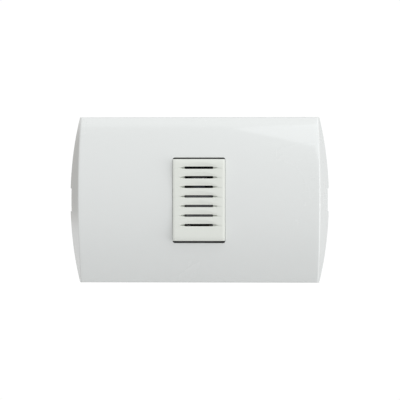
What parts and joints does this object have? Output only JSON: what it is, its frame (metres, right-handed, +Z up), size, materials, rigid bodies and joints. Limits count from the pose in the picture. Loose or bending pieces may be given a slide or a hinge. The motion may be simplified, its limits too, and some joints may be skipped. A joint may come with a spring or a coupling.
{
  "type": "electric buzzer",
  "caption": "Wall-mounted electric door buzzer: a louvred buzzer module in a mounting frame under a curved white cover plate, with screw terminals behind.",
  "frame": {"origin": "midpoint between the two box-screw slots, on the wall's surface", "axes": "+X along the plate to the right as seen from the room, +Z up the wall, +Y into the wall"},
  "size_m": [0.119, 0.0326, 0.076],
  "materials": {
    "cover_gloss": "polished moulded white plastic",
    "module_satin": "satin moulded warm white plastic",
    "frame_plastic": "plain moulded light grey plastic",
    "housing_plastic": "plain moulded off-white plastic",
    "base_plastic": "dark moulded terminal plastic, fine grain",
    "bobbin_nylon": "natural nylon",
    "core_steel": "stacked electrical steel sheets, lightly oiled",
    "copper_wire": "enamelled copper wire",
    "coil_tape": "amber insulating tape",
    "spring_steel": "blued spring steel",
    "armature_steel": "zinc-plated mild steel",
    "contact_brass": "rolled brass",
    "zinc_steel": "bright zinc-plated steel"
  },
  "bodies": {
    "root": {"mounting_frame": "frame_plastic", "buzzer_grille": "module_satin", "buzzer_housing": "housing_plastic", "terminal_base": "base_plastic", "base_screws": "zinc_steel", "magnet_core": "core_steel", "core_rivets": "zinc_steel", "coil_bobbin": "bobbin_nylon", "coil_winding": "copper_wire", "winding_tape": "coil_tape", "blade_clamp": "spring_steel", "blade_screws": "zinc_steel", "contact_plate_left": "contact_brass", "contact_plate_right": "contact_brass", "lead_wire_left": "copper_wire", "lead_wire_right": "copper_wire"},
    "cover": {"cover_plate": "cover_gloss"},
    "armature": {"armature_plate": "armature_steel", "armature_rivets": "zinc_steel", "spring_blade": "spring_steel"},
    "clamp_left": {"clamp_plate_left": "zinc_steel"},
    "clamp_right": {"clamp_plate_right": "zinc_steel"},
    "screw_left": {"terminal_screw_left": "zinc_steel"},
    "screw_right": {"terminal_screw_right": "zinc_steel"}
  },
  "joints": [
    {"name": "cover_release", "type": "slide", "parent": "root", "child": "cover", "axis": [0, -1, 0], "range_m": [0, 0.03]},
    {"name": "armature_swing", "type": "hinge", "parent": "root", "child": "armature", "pos_m": [0, -0.0086, 0.0066], "axis": [1, 0, 0], "range_deg": [-1.5, 3.5], "stiffness_Nm_per_rad": 0.08, "deforming": ["spring_blade"]},
    {"name": "clamp_travel_left", "type": "slide", "parent": "root", "child": "clamp_left", "axis": [0, -1, 0], "range_m": [0, 0.0018]},
    {"name": "screw_turn_left", "type": "hinge", "parent": "clamp_left", "child": "screw_left", "pos_m": [-0.0056, 0.0168, -0.0129], "axis": [0, -1, 0], "range_deg": [0, 1296.5]},
    {"name": "clamp_travel_right", "type": "slide", "parent": "root", "child": "clamp_right", "axis": [0, -1, 0], "range_m": [0, 0.0018]},
    {"name": "screw_turn_right", "type": "hinge", "parent": "clamp_right", "child": "screw_right", "pos_m": [0.0056, 0.0168, -0.0129], "axis": [0, -1, 0], "range_deg": [0, 1296.5]}
  ],
  "couplings": [
    {"joint": "screw_turn_left", "follows": "clamp_travel_left", "rad_per_m": 12566},
    {"joint": "screw_turn_right", "follows": "clamp_travel_right", "rad_per_m": 12566}
  ]
}
